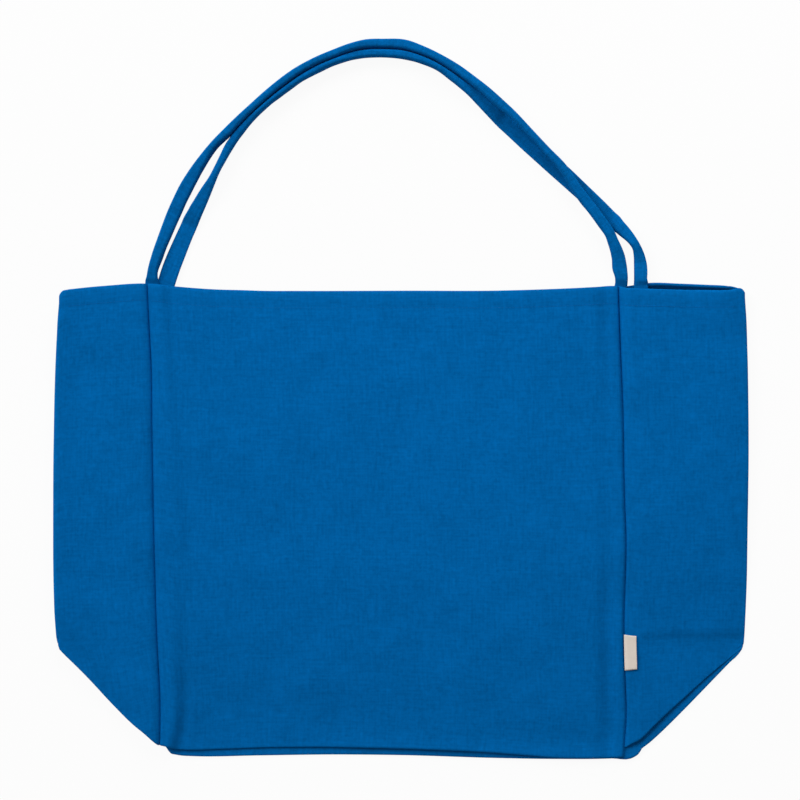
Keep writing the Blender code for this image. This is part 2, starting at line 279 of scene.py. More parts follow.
# Where its mouth, its foot and its slanting corners lie along it, as (x, y)
FRONT_MOUTH = smooth_line(
    (-294.2, 87.4), (-292.9, 89.8), (-290.9, 92), (-287, 93.1), (-279, 94.2), (-272, 95),
    (-253, 96.7), (-218, 98.5), (-195, 96.2), (-158, 93.5), (-138, 93), (-120, 92.4), (-90, 92.3),
    (0, 92.5), (87, 92.6), (153, 94.8), (168, 95.6), (182, 96.6), (187.5, 96.3), (193, 94.9),
    (205, 94.3), (231, 93.4), (241, 93.1), (262, 92.9), (277, 92.9), (286, 93.5), (291.5, 94.8),
    (294, 93.9), (296, 91.8),
)
BACK_MOUTH = smooth_line(
    (-294, 87.2), (-290.5, 91), (-286, 92.3), (-204, 96), (-150, 91.5), (0, 90.5), (150, 93.5),
    (198, 97.1), (212, 99.1), (241, 98.6), (262, 97.7), (279, 96.9), (287, 96.1), (291.5, 94.8),
    (295, 92.5),
)
FRONT_FOOT = smooth_line(
    (-209, -298.3), (-206.5, -298.8), (-203, -299.5), (-200, -300.6), (-195, -302.2),
    (-188, -302.8), (-156, -302.4), (-121, -301.1), (-1, -301.9), (87, -305.9), (111, -307.8),
    (131, -309.4), (171, -309.9), (192, -309.2),
)
BACK_FOOT = smooth_line(
    (-198, -306.9), (-190, -308.3), (-181, -308.8), (-122, -308.2), (-60, -307.4), (-1, -307.9),
    (87, -310.5), (131, -311.2), (182, -310.8), (201, -309.8), (205, -307), (207.5, -303.3),
)
FRONT_SLANTS = (
    smooth_line(
        (-294.5, -215.4), (-291, -219.2), (-284.5, -225.6), (-272, -238.2), (-246, -265.8),
        (-232, -279.4), (-219, -289.8), (-213.5, -294.8), (-209, -298.3), (-206, -299.4),
        (-200, -300.8),
    ),
    smooth_line(
        (187, -305), (191, -302.5), (199.5, -297.2), (204.5, -294.8), (219, -281.2),
        (229.8, -270.9), (247.8, -254.8), (259.2, -244.6), (270.6, -234.9), (282.8, -225.3),
        (290, -219.8), (295, -216),
    ),
)
BACK_SLANTS = (
    smooth_line(
        (-293.7, -214), (-246, -259.5), (-206, -296.8), (-203.2, -300), (-201.3, -303.2),
        (-199.6, -305.6), (-197, -307.4), (-194, -308),
    ),
    smooth_line(
        (203, -306.4), (207, -303.1), (216, -296.1), (224, -288.8), (241, -272.1), (260, -252.7),
        (272.5, -239.8), (285, -227), (291.6, -220.8), (294, -217),
    ),
)

# Soft dents of the front cloth, as size, seed and height
DENTS = ((0.055, 3.1, 0.8 * MM), (0.025, 7.7, 0.4 * MM), (0.012, 5.2, 0.16 * MM))

# How far the front panel falls past the back seam felt through it, and how deep the dip left
# of the right seam is, as (y, depth)
RIDGE_DROP = smooth_line(
    (-310, 1), (-270, 1.5), (-242, 1), (-208, 0.3), (-185, 0.2), (-147, 0.3), (-122, 1.9),
    (-87, 2.3), (-60, 1.8), (-20, 1.5), (50, 2.3), (98, 3.4),
)
VALLEY_DEPTH = smooth_line(
    (-310, 2.2), (-240, 3.8), (-170, 2.5), (-110, 1.6), (-40, 1), (0, 1.5), (60, 2.8), (100, 3.2),
)


def mix(a, b, share):
    return a + (b - a) * share


def ramp(low, high, value):
    """From 0 at low to 1 at high, level outside them and rounded at both ends."""
    t = np.clip((value - low) / (high - low), 0, 1)
    return t * t * (3 - 2 * t)


def bump(distance, width):
    """A soft bump, 1 at distance 0, that falls away over width."""
    return np.exp(-((distance / width) ** 2))


def rough(x, y, size, seed):
    """Even noise from -1 to 1, with features about size across."""
    places = zip(np.ravel(x) / size, np.ravel(y) / size)
    values = [noise.noise((a, b, seed)) for a, b in places]
    return np.array(values).reshape(np.shape(x))


def height_share(z):
    """0 at the front cloth's height in the folded bag and 1 at the back cloth's."""
    return np.clip((LAYERS[0] - z) / FULL_LOFT, 0, 1)


def depth_at(z):
    """0 for cloth that belongs to the front, 1 for the back, and between them in a fold."""
    return ramp(0.36, 0.64, height_share(z))


def seam_x(side, depth):
    """Where a side seam lies in the folded bag: depth runs from 0, front, to 1, back."""
    return side * PANEL_WIDTH / 2 + (depth - 0.5) * LAY_SHIFT


def seam_edge(side, depth):
    """Where a side strip begins beside its seam: a small gap in front, closed at the back."""
    return seam_x(side, depth) + side * SEAM_GAP * (1 - depth)


def laid_x(x, y, depth):
    """Where a point of the folded bag comes to lie across the laid bag."""
    end = np.full_like(x, SIDE_X)
    folded = (-end, seam_x(-1, depth), seam_x(1, depth), end)
    seams = [mix(FRONT_SEAMS[side](y), BACK_SEAMS[side](y), depth) for side in (0, 1)]
    laid = (CREASES[0](y), *seams, CREASES[1](y))
    parts = []
    for left in range(3):
        share = (x - folded[left]) / (folded[left + 1] - folded[left])
        parts.append(mix(laid[left], laid[left + 1], share))
    return np.select([x < folded[1], x < folded[2]], parts[:2], parts[2])


def folded_foot(x, depth, in_gusset):
    """The folded bag's lower edge, straight under the panels and slanting at the sides."""
    if not in_gusset:
        return np.full_like(x, FOOT_Y)
    seam = np.where(x < 0, -seam_x(-1, depth), seam_x(1, depth))
    share = np.clip((np.abs(x) - seam) / (SIDE_X - seam), 0, 1)
    return mix(FOOT_Y, TUCK_Y - 2 * FOLD_RADIUS, share)


def laid_foot(x, depth, in_gusset):
    """The laid bag's lower edge."""
    if not in_gusset:
        return mix(FRONT_FOOT(x), BACK_FOOT(x), depth)
    slants = [mix(FRONT_SLANTS[side](x), BACK_SLANTS[side](x), depth) for side in (0, 1)]
    return np.where(x < 0, *slants)


def loft(x, y):
    """How high the front cloth lies above the back cloth at a place on the laid bag."""
    left, right = FRONT_SEAMS[0](y), FRONT_SEAMS[1](y)
    share = np.clip((x - left) / (right - left), 0, 1)
    height = np.full_like(x, FULL_LOFT)
    # Right of the back seam felt through it, the panel falls, and more so near the foot
    low_down, high_up = ramp(-0.23, -0.27, y), ramp(-0.05, 0.03, y)
    from_ridge = x - BACK_SEAMS[0](y)
    ridge_width = (7 - 2.5 * high_up - 1.5 * low_down) * MM
    past_ridge = ramp(-1, 1, (from_ridge + 0.5 * MM) / ridge_width)
    height -= RIDGE_DROP(y) * past_ridge * (1 - share)
    height -= 1.6 * MM * low_down * ramp(4 * MM, 36 * MM, from_ridge) * (1 - share)
    # The middle and the foot sink
    height -= 2.4 * MM * np.sin(math.pi * share) ** 2 * ramp(-0.30, -0.1, y)
    lower_edge = mix(FRONT_FOOT(x), FRONT_SLANTS[1](x), ramp(-6 * MM, 6 * MM, x - right))
    height -= FOOT_SINK * (1 - ramp(0, 0.2, y - lower_edge)) * past_ridge
    # The left crease stands up a little, and the right one lies flatter
    to_left, to_right = x - CREASES[0](y), CREASES[1](y) - x
    height += 1.5 * MM * (1 - ramp(0, 0.022, to_left))
    height -= 2.3 * MM * (1 - ramp(0, 0.07, to_right))
    height -= mix(0.8, 2, ramp(0.02, 0.06, y)) * MM * (1 - ramp(0, 0.018, to_right))
    return height


def seam_grooves(x, y):
    """Each seam pulls the cloth down in a narrow groove inside a wider one."""
    high_up, low_down = ramp(-0.02, 0.05, y), ramp(-0.10, -0.16, y)
    # The left seam; inside is the distance into the panel
    inside = x - FRONT_SEAMS[0](y)
    reach = np.where(inside < 0, 12, mix(5.5, 9, low_down)) * MM
    height = -mix(1.4, 2, high_up) * MM * bump(inside, 1.1 * MM)
    height -= 1.2 * MM * bump(inside, np.where(inside < 0, 3.4, 1.1) * MM)
    height -= mix(1.4, 2.2, low_down) * MM * np.exp(-np.abs(inside) / reach)
    # The right seam
    inside = FRONT_SEAMS[1](y) - x
    reach = np.where(inside < 0, 1.1, mix(1.4, 4.6, high_up)) * MM
    height -= mix(1.4, 2.8, high_up) * MM * bump(inside, 1.1 * MM)
    height -= mix(0.6, 1.4, high_up) * MM * bump(inside, reach)
    panel_side = bump(inside, mix(2, 5.5, high_up) * MM)
    gusset_side = np.exp(np.minimum(inside, 0) / (9 * MM))
    height -= 0.9 * MM * np.where(inside < 0, gusset_side, panel_side)
    return height


def right_valley(x, y):
    """A dip left of the right seam, where the panel sinks beside the layers under the seam."""
    past_middle = FRONT_SEAMS[1](y) - x - mix(20 * MM, 16 * MM, ramp(-0.02, 0.06, y))
    fall = ramp(7 * MM, -6.5 * MM, past_middle)
    climb = ramp(-5.5 * MM, -16 * MM, past_middle)
    return -VALLEY_DEPTH(y) * (fall - 0.55 * climb)


def hem_shape(below_mouth):
    """The hem across its width: rounded over the mouth, and drawn in by its stitches."""
    height = -0.6 * MM * np.exp(-np.maximum(below_mouth, 0) / (2.2 * MM))
    height -= 0.34 * MM * ramp(6 * MM, 17 * MM, below_mouth)
    height += 0.12 * MM * ramp(16.5 * MM, 21 * MM, below_mouth)
    return height - 0.16 * MM * bump(below_mouth - STITCH_DROP, MM)


def relief(x, y):
    """The front cloth's small shapes: seams, folds felt through it, its foot and soft dents."""
    inside = np.minimum(x - FRONT_SEAMS[0](y), FRONT_SEAMS[1](y) - x)
    in_panel, outside = ramp(-2 * MM, 4 * MM, inside), np.maximum(-inside, 0)
    above_foot = y - FRONT_FOOT(x)
    height = seam_grooves(x, y) + right_valley(x, y) + hem_shape(FRONT_MOUTH(x) - y)
    # The panel's foot: a soft ridge over the fold, a slope above it and one shallow dent
    height += in_panel * 0.8 * MM * bump(above_foot, 8 * MM) * ramp(-0.12, 0, x)
    height -= in_panel * 1.2 * MM * (1 - ramp(6 * MM, 62 * MM, above_foot))
    height -= 0.6 * MM * bump(x - 0.130, 0.035) * bump(above_foot - 13 * MM, 13 * MM)
    # The right side strip: raised near the mouth and beside its seam, and stepped down where
    # its corner is tucked in
    height += 1.8 * MM * ramp(0.04, 0.1, y) * ramp(0, 18 * MM, outside) * (x > 0)
    height += 0.8 * MM * bump(outside - 9 * MM, 6 * MM) * ramp(-0.06, 0.02, y) * (x > 0)
    fold = ramp(-0.199, -0.209, y) * (1 - 0.7 * ramp(-0.211, -0.235, y))
    height -= 1.5 * MM * fold * ramp(10 * MM, 26 * MM, outside) * (x > 0)
    # The left side strip: sinking towards its tucked corner and along its slanting edge
    low_down, slant_edge = ramp(-0.17, -0.225, y), y - FRONT_SLANTS[0](x)
    height -= 1.6 * MM * low_down * ramp(10 * MM, 50 * MM, outside) * (x < 0)
    near_edge = 1 - ramp(0, 36 * MM, slant_edge)
    height -= 2.8 * MM * near_edge * ramp(4 * MM, 30 * MM, outside) * (x < 0)
    for size, seed, rise in DENTS:
        height += rise * rough(x, y, size, seed)
    return height


def back_rim(x, y):
    """The back of the right side stands up a little along its mouth."""
    along = ramp(0.207, 0.215, x) * ramp(0.298, 0.276, x)
    return 7 * MM * along * ramp(7 * MM, 0.6 * MM, BACK_MOUTH(x) - y)


def lay(points, in_gusset=False):
    """Moves points of the folded bag, an array of (x, y, z), to where they lie."""
    x, y, z = np.moveaxis(np.asarray(points, float), -1, 0)
    depth = depth_at(z)
    new_x = laid_x(x, y, depth)
    foot, new_foot = folded_foot(x, depth, in_gusset), laid_foot(new_x, depth, in_gusset)
    mouth = mix(FRONT_MOUTH(new_x), BACK_MOUTH(new_x), depth)
    share = (y - foot) / (MOUTH_Y - foot)
    new_y = new_foot + share * (mouth - new_foot)
    lift = (z - LAYERS[3]) * loft(new_x, new_y) / FULL_LOFT
    new_z = LAYERS[3] + lift + relief(new_x, new_y) * (1 - height_share(z)) ** 1.5
    new_z += back_rim(new_x, new_y) * height_share(z) ** 2
    return np.stack([new_x, new_y, new_z], axis=-1)


def graded(length, step, fine_start=True, fine_end=True):
    """Places from 0 to length, step apart in the middle and finer towards a fine end."""
    start = FINE_ROWS if fine_start else FINE_ROWS[:1]
    end = FINE_ROWS if fine_end else FINE_ROWS[:1]
    low, high = start[-1], length - end[-1]
    middle = np.linspace(low, high, max(2, round((high - low) / step) + 1))
    return np.concatenate([start[:-1], middle, (length - end)[::-1][1:]])


def run_lengths(points, axis=0):
    """How long the line of points is up to each one, along an axis of the array."""
    steps = np.diff(points, axis=axis, prepend=np.take(points, [0], axis))
    return np.cumsum(np.linalg.norm(steps, axis=-1), axis=axis)


def grid_points(x, y, z):
    """A grid of points, a row for each y and z; x is one row, or a row for each of them."""
    return np.stack(np.broadcast_arrays(x, y[:, None], z[:, None]), axis=-1)


def cloth_mesh(name, points, flat, wear, thickness, material):
    """A sheet from a grid of points, with its flat cloth coordinates and its wear."""
    rows, columns = points.shape[:2]
    index = np.arange(rows * columns).reshape(rows, columns)
    faces = np.stack([index[:-1, :-1], index[:-1, 1:], index[1:, 1:], index[1:, :-1]], axis=-1)
    faces = faces.reshape(-1, 4)
    mesh = bpy.data.meshes.new(name)
    mesh.from_pydata(points.reshape(-1, 3).tolist(), [], faces.tolist())
    uv = mesh.uv_layers.new(name="cloth")
    uv.data.foreach_set("uv", flat.reshape(-1, 2)[faces.ravel()].ravel())
    attribute = mesh.attributes.new("wear", "FLOAT", "POINT")
    attribute.data.foreach_set("value", np.ravel(wear).astype(np.float32))
    mesh.materials.append(material)
    mesh.shade_smooth()
    sheet = bpy.data.objects.new(name, mesh)
    bag.objects.link(sheet)
    solidify = sheet.modifiers.new("cloth", "SOLIDIFY")
    solidify.thickness = thickness
    solidify.offset = 0
    solidify.use_quality_normals = True
    return sheet


def stands_for(piece, node):
    """The piece rides on the bag and replaces its CAD solid, where it has one."""
    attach(piece, "root")
    if node:
        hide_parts(node)


def base_path(along):
    """The base's path from the front panel, 0, to the back panel, as depth, y and z.

    Below 0 and past its end, it goes on up the panels."""
    foot, top = FOOT_Y + FOLD_RADIUS, TUCK_Y - FOLD_RADIUS
    ends = np.cumsum([0, FOLD_ARC, BASE_STRAIGHT, FOLD_ARC, BASE_STRAIGHT, FOLD_ARC])
    turns = ((ends[0], foot, -1, 0), (ends[2], top, 1, 1), (ends[4], foot, -1, 2))
    depth = np.interp(along, ends[1:5], (0, 0.5, 0.5, 1))
    y = np.interp(along, (ends[0] - 1, *ends, ends[5] + 1),
                  (foot + 1, foot, foot, top, top, foot, foot, foot + 1))
    z = np.interp(along, ends, np.repeat(LAYERS, (1, 2, 2, 1)))
    for start, centre, outward, layer in turns:
        angle = (along - start) / FOLD_RADIUS
        turning = (angle > 0) & (angle < math.pi)
        middle = (LAYERS[layer] + LAYERS[layer + 1]) / 2
        y = np.where(turning, centre + outward * FOLD_RADIUS * np.sin(angle), y)
        z = np.where(turning, middle + FOLD_RADIUS * np.cos(angle), z)
    return depth, y, z


def hem_rows():
    """Rows over the mouth and down the inside of a hem, as (y, inset)."""
    angle = np.linspace(0, math.pi, HEM_STEPS + 1)
    y = MOUTH_Y - HEM_RADIUS + HEM_RADIUS * np.sin(angle)
    inset = HEM_RADIUS * (1 - np.cos(angle))
    down = np.linspace(MOUTH_Y - HEM_RADIUS, MOUTH_Y - HEM_DEPTH, HEM_STEPS)[1:]
    flat = np.full(len(down), 2 * HEM_RADIUS)
    return np.concatenate([y, down]), np.concatenate([inset, flat])


def panel_points(depth):
    """A panel of the folded bag with its hem, as points and flat coordinates."""
    foot = FOOT_Y + FOLD_RADIUS
    rise = graded(SEAM_TURN + MOUTH_Y - HEM_RADIUS - foot, PANEL_STEP)[:-1]
    along = SEAM_TURN - rise
    if depth == 1:
        along = BASE_END - along
    _, y, z = base_path(along)
    hem_y, inset = hem_rows()
    hem_z = LAYERS[0] - inset if depth == 0 else LAYERS[3] + inset
    y, z = np.concatenate([y, hem_y]), np.concatenate([z, hem_z])
    height = np.concatenate([rise, rise[-1] + np.linspace(0.001, HEM_DEPTH, len(hem_y))])
    across = graded(PANEL_WIDTH, PANEL_STEP)
    points = grid_points(seam_x(-1, depth) + across, y, z)
    return points, np.stack(np.meshgrid(across, height), axis=-1)


def edge_wear(points, in_gusset=False):
    """How worn the folded bag's cloth is: most over the mouth, the creases and the foot."""
    x, y, z = np.moveaxis(points, -1, 0)
    mouth = bump(MOUTH_Y - y, MOUTH_WEAR)
    foot = bump(y - folded_foot(x, depth_at(z), in_gusset), FOOT_WEAR)
    crease = bump(SIDE_X - np.abs(x), CREASE_WEAR)
    return np.clip(mouth + foot + crease, 0, 1)


def make_canvas(name, node, points, flat, material, in_gusset=False):
    """A piece of canvas, laid down from its folded shape."""
    wear = edge_wear(points, in_gusset)
    sheet = cloth_mesh(name, lay(points, in_gusset), flat, wear, CLOTH, material)
    stands_for(sheet, node)
    return sheet


def base_points():
    """The base, folded up between front and back, as points and flat coordinates."""
    edge = SEAM_TURN + SEAM_GAP
    along = edge + graded(BASE_END - 2 * edge, BASE_STEP)
    turn = np.linspace(0, FOLD_ARC, BASE_FOLD_STEPS + 1)
    arcs = [turn + layer * (FOLD_ARC + BASE_STRAIGHT) for layer in range(3)]
    along = np.unique(np.concatenate([along, *arcs]).round(6))
    along = along[(along >= edge) & (along <= BASE_END - edge)]
    depth, y, z = base_path(along)
    across = graded(PANEL_WIDTH, BASE_COLUMN)
    points = grid_points(seam_x(-1, depth)[:, None] + across, y, z)
    return points, np.stack(np.meshgrid(across, along), axis=-1)


def gusset_columns():
    """Columns across a side strip, as (section, share of it, share of the turn to the back)."""
    length = SIDE_X - SIDE_RADIUS - PANEL_WIDTH / 2
    from_seam = graded(length, GUSSET_STEP, fine_end=False) / length
    columns = [("front", share, 0) for share in from_seam]
    steps = {name: CORNER_TUCK_STEPS if "tuck" in name else CORNER_TURN_STEPS
             for name in GUSSET_SECTIONS[1:-1]}
    turned = 0
    for name, count in steps.items():
        for step in range(1, count + 1):
            turned += 1
            columns.append((name, step / count, turned / sum(steps.values())))
    columns += [("back", 1 - share, 1) for share in from_seam[::-1][1:]]
    return columns


def side_of(column):
    """0 for a column in front and 1 behind, and its share of its section from the seam's side."""
    section, along, _ = column
    depth = 0 if section.startswith("front") else 1
    return depth, along if depth == 0 else 1 - along


def slant(side, depth):
    """The slanting edge of a tucked corner: its lower end, its tip and its inward direction."""
    corner = Vector((seam_edge(side, depth), FOOT_Y))
    tip = Vector((side * SIDE_X, TUCK_Y - 2 * FOLD_RADIUS))
    run = (tip - corner).normalized()
    inward = Vector((-side * run.y, abs(run.x)))
    start = (FOLD_RADIUS * run.y + EDGE_RUN) / abs(tip.x - corner.x)
    return corner.lerp(tip, start), tip, inward


def blunt_turn(angle):
    """A pressed fold's outline, squarer than a half circle, as (out, up) from -1 to 1."""
    out, up = math.sin(angle), math.cos(angle)
    return abs(out) ** 0.5, math.copysign(abs(up) ** 0.5, up)


def tucked_point(side, column, share):
    """A point of the tucked corner, share of the way along its slanting edge to the tip."""
    section, along, _ = column
    depth, from_seam = side_of(column)
    outer, inner = (LAYERS[0], LAYERS[1]) if depth == 0 else (LAYERS[3], LAYERS[2])
    edges = []
    for end in (0, 1):
        low, tip, inward = slant(side, end)
        edges.append((low.lerp(tip, share), inward))
    edge, inward = edges[depth]
    flat_end = edge + inward * FOLD_RADIUS
    top = TUCK_Y - FOLD_RADIUS
    if section in ("front", "back"):
        seam = seam_edge(side, depth)
        return seam + (flat_end.x - seam) * from_seam, flat_end.y, outer
    if section in ("front_slant", "back_slant"):
        out, up = blunt_turn(math.pi * from_seam)
        point = edge + inward * FOLD_RADIUS * (1 - out)
        return point.x, point.y, (outer + inner) / 2 + (outer - inner) / 2 * up
    top_x = sum(point.x + inward.x * FOLD_RADIUS for point, inward in edges) / 2
    if section in ("front_tuck", "back_tuck"):
        point = flat_end.lerp(Vector((top_x, top)), from_seam)
        return point.x, point.y, inner
    angle = math.pi * along
    middle = (LAYERS[1] + LAYERS[2]) / 2
    return top_x, top + FOLD_RADIUS * math.sin(angle), middle + FOLD_RADIUS * math.cos(angle)


def base_edge(side, column):
    """The point of the base's short edge that a column of the side strip is sewn to."""
    section, along, _ = column
    lengths = (0, FOLD_ARC, BASE_STRAIGHT, FOLD_ARC, BASE_STRAIGHT, FOLD_ARC, 0)
    place = GUSSET_SECTIONS.index(section)
    depth, y, z = base_path(sum(lengths[:place]) + along * lengths[place])
    return seam_edge(side, depth), float(y), float(z)


def upright_point(side, column, y, inset):
    """A point above the tucked corner, where the side strip is folded once along its middle."""
    section, _, turn = column
    centre = SIDE_X - SIDE_RADIUS
    if section in ("front", "back"):
        depth, from_seam = side_of(column)
        seam = seam_edge(side, depth)
        z = LAYERS[0] - inset if depth == 0 else LAYERS[3] + inset
        return seam + (side * centre - seam) * from_seam, y, z
    radius = SIDE_RADIUS - inset
    middle = (LAYERS[0] + LAYERS[3]) / 2
    out, up = blunt_turn(math.pi * turn)
    return side * (centre + radius * out), y, middle + radius * up


def full_corner(row):
    """A row of a side strip just above its tucked corner, stretched out to the side crease."""
    outermost, centre = np.abs(row[:, 0]).max(), SIDE_X - 2 * SIDE_RADIUS
    share = np.clip((np.abs(row[:, 0]) - centre) / (outermost - centre), 0, 1)
    row[:, 0] += np.sign(row[:, 0]) * (SIDE_X - outermost) * share**2
    return row


def gusset_points(side):
    """A side strip of the folded bag, as points and flat coordinates."""
    columns = gusset_columns()
    if side < 0:
        columns.reverse()
    edge = np.array([base_edge(side, column) for column in columns])
    rows = []
    for share in CORNER_ROWS:
        row = np.array([tucked_point(side, column, share) for column in columns])
        rows.append(mix(edge, row, ramp(0, CORNER_BLEND, share)))
    start = TUCK_Y + SIDE_RADIUS
    upright = start + graded(MOUTH_Y - HEM_RADIUS - start, PANEL_STEP, fine_start=False)[:-1]
    risen = np.array([upright_point(side, column, start, 0) for column in columns])
    rows += [full_corner(mix(rows[-1], risen, share)) for share in np.linspace(0, 1, 9)[1:-1]]
    for y, inset in [*((y, 0) for y in upright), *zip(*hem_rows())]:
        rows.append([upright_point(side, column, y, inset) for column in columns])
    points = np.array(rows)
    across = run_lengths(points, axis=1)
    height = run_lengths(points[:, -1 if side < 0 else 0])[:, None]
    return points, np.stack(np.broadcast_arrays(across, height), axis=-1)


def strap_line(route):
    """Even steps of a smooth line along a route: run, x, y, seen width, lift and share."""
    rows = [(*row, *(0, 1)[len(row) - 3:]) for row in route]
    x, y, seen, lift, width = np.array(rows, float).T
    knots = run_lengths(np.stack([x, y], axis=1))
    even = np.linspace(0, knots[-1] * MM, round(knots[-1] * MM / STRAP_STEP) + 1)
    lines = [smooth_line(*zip(knots, values))(even) for values in (x, y, seen, lift, width / MM)]
    return even, *lines


def bent_sections(seen, hang):
    """Sections of a strap, one for each seen width and hang, as rows of out, up and tilt.

    They run from the outer edge inward: the outer part lies nearly flat, and beyond a bend the
    rest hangs down, hang degrees steep."""
    hang = hang[:, None]
    from_edge = np.linspace(0, STRAP_WIDTH, SECTION_STEPS)
    bent = ramp(STRAP_WIDTH, STRAP_WIDTH - 2.5 * MM, seen)[:, None]
    overhang = STRAP_THICKNESS / 2 * np.sin(bent * math.pi / 2)
    turning = np.radians(mix(TOP_TILT, hang, ramp(0, 1, np.linspace(0, 1, 21))))
    bend_seen = BEND_LENGTH * np.cos(turning).mean(axis=1, keepdims=True)
    steep = np.cos(np.radians(hang))
    straight = STRAP_WIDTH - BEND_LENGTH
    start = (seen[:, None] - overhang - bend_seen - straight * steep) / (1 - steep)
    share = ramp(start, start + BEND_LENGTH, from_edge)
    tilt = bent * np.radians(mix(TOP_TILT, hang, share))
    inward = np.cumsum(np.cos(tilt), axis=1) * from_edge[1]
    down = np.cumsum(np.sin(tilt), axis=1) * from_edge[1]
    middle = (inward.max(axis=1) + overhang[:, 0] + inward.min(axis=1)) / 2
    return middle[:, None] - inward, -down, tilt


def across_section(columns, across):
    """Values of the sections at places across the strap, from the outer edge inward."""
    place = np.clip((STRAP_WIDTH / 2 - across) / STRAP_WIDTH, 0, 1) * (SECTION_STEPS - 1)
    low = np.minimum(place.astype(int), SECTION_STEPS - 2)
    pairs = [[np.take_along_axis(values, low + step, 1) for step in (0, 1)] for values in columns]
    return [mix(*pair, place - low) for pair in pairs]


def strap_loop():
    """The middle of the strap's wall in section, a flat tube, as rows of (across, up)."""
    half_width = (STRAP_WIDTH - STRAP_WALL) / 2
    half_height = (STRAP_THICKNESS - STRAP_WALL) / 2
    edge = half_height * 0.8
    across = np.linspace(-1, 1, STRAP_COLUMNS) * (half_width - edge)
    up = half_height * (0.8 + 0.2 * (1 - (across / half_width) ** 2))
    angle = np.linspace(math.pi / 2, -math.pi / 2, 7)[1:-1]
    top = np.stack([across, up], axis=1)
    cap = np.stack([half_width - edge + edge * np.cos(angle), edge * np.sin(angle)], axis=1)
    return np.concatenate([top, cap, -top, -cap])


def strap_face(run, loop, seed):
    """Where the wall's middle lies across and up, with small creases that fade at both ends."""
    place, around = np.meshgrid(run, loop[:, 0], indexing="ij")
    ends = ramp(0, STRAP_ENDS, np.minimum(place, run[-1] - place))
    crease = rough(place, around * 1.6, 0.013, seed) * ramp(0.003, -0.006, around)
    ripple = RIPPLE_HEIGHT * rough(place, around * 2.5, 0.02, seed + 5) + CREASE_HEIGHT * crease
    up = loop[:, 1] * mix(PRESSED_END, 1, ends) + ripple * ends * np.sign(loop[:, 1])
    return around + SWAY * rough(place, 0 * place, 0.03, seed + 9) * ends, up


def strap_points(route, hang, seed):
    """A strap's wall as points, one row for each step of its run, with its run and its loop."""
    run, x, y, seen, lift, width = strap_line(route)
    loop = strap_loop()
    across, face = strap_face(run, loop, seed)
    along = np.stack([np.gradient(x), np.gradient(y)], axis=1)
    along /= np.linalg.norm(along, axis=1)[:, None]
    sections = bent_sections(seen, mix(*hang, ramp(*HANG_CHANGE, x)))
    out, up, tilt = across_section(sections, across)
    out, up = (out - face * np.sin(tilt)) * width[:, None], up + face * np.cos(tilt)
    lowest, end_tilt = sections[1][:, -1:], sections[2][:, -1:]
    foot = lowest - STRAP_THICKNESS / 2 * np.maximum(np.cos(end_tilt), 0.1)
    up += FLOOR_GAP + lift[:, None] - foot
    x, y = x[:, None] - along[:, 1:] * out, y[:, None] + along[:, :1] * out
    return np.stack([x, y, up], axis=-1), run, loop


def make_handle(name, route, hang, node, seed, material):
    """A strap, a flat tube of cloth swept along its route, with its length and its girth."""
    points, run, loop = strap_points(route, hang, seed)
    closed = np.concatenate([points, points[:, :1]], axis=1)
    round_it = run_lengths(np.append(loop, loop[:1], axis=0))
    flat = np.stack(np.meshgrid(round_it, run), axis=-1)
    wear = bump(np.abs(loop[:, 0]) - STRAP_WIDTH / 2, STRAP_WEAR)
    wear = np.broadcast_to(np.append(wear, wear[0]), closed.shape[:2])
    sheet = cloth_mesh(name, closed, flat, wear, STRAP_WALL, material)
    weld = sheet.modifiers.new("joined", "WELD")
    weld.merge_threshold = 0.00001
    sheet.modifiers.move(1, 0)
    stands_for(sheet, node)
    return sheet, run[-1], round_it[-1]


def top_of_bag(x, y):
    """Height of the upper face of the front cloth at a place on the laid bag."""
    return LAYERS[3] + loft(x, y) + relief(x, y) + CLOTH / 2


def make_label(material):
    """The woven tape in the right front seam, with the tape's whole length.

    It is folded double, lies on the side strip and curls a little."""
    rows, columns, turn_steps = LABEL_GRID
    y = np.linspace(LABEL_FOOT, LABEL_HEAD, rows)
    out = np.linspace(0, LABEL_WIDTH - 1.5 * LABEL_TAPE, columns)
    angle = np.linspace(0, math.pi, turn_steps + 1)[1:-1]
    offset = np.concatenate([out, out[-1] + LABEL_TAPE * np.sin(angle), out[::-1]])
    level = np.concatenate([2 + 0 * out, 1 + np.cos(angle), 0 * out]) * LABEL_TAPE
    run, place = np.meshgrid(offset, y)
    across = run / LABEL_WIDTH
    share = (place - LABEL_FOOT) / (LABEL_HEAD - LABEL_FOOT)
    x = FRONT_SEAMS[1](place) - LABEL_TUCK + run
    taper = LABEL_TAPER * across * np.sign(0.5 - share) * ramp(0.3, 1, np.abs(2 * share - 1))
    curl = LABEL_CURL * across**2 + LABEL_WAVE * np.sin(5 * share) * across
    # It stands clear of the seam's groove
    seat = top_of_bag(x, place) + 1.5 * MM * bump(x - FRONT_SEAMS[1](place), 0.9 * MM)
    z = seat + LABEL_GAP + LABEL_TAPE / 2 + level + curl
    points = np.stack([x, place + taper, z], axis=-1)
    edge = run_lengths(np.stack([offset, level], axis=1))
    flat = np.stack(np.meshgrid(edge, y - LABEL_FOOT), axis=-1)
    wear = np.zeros(points.shape[:2])
    sheet = cloth_mesh("label_tape", points, flat, wear, LABEL_TAPE, material)
    stands_for(sheet, "side_label")
    return sheet, edge[-1]


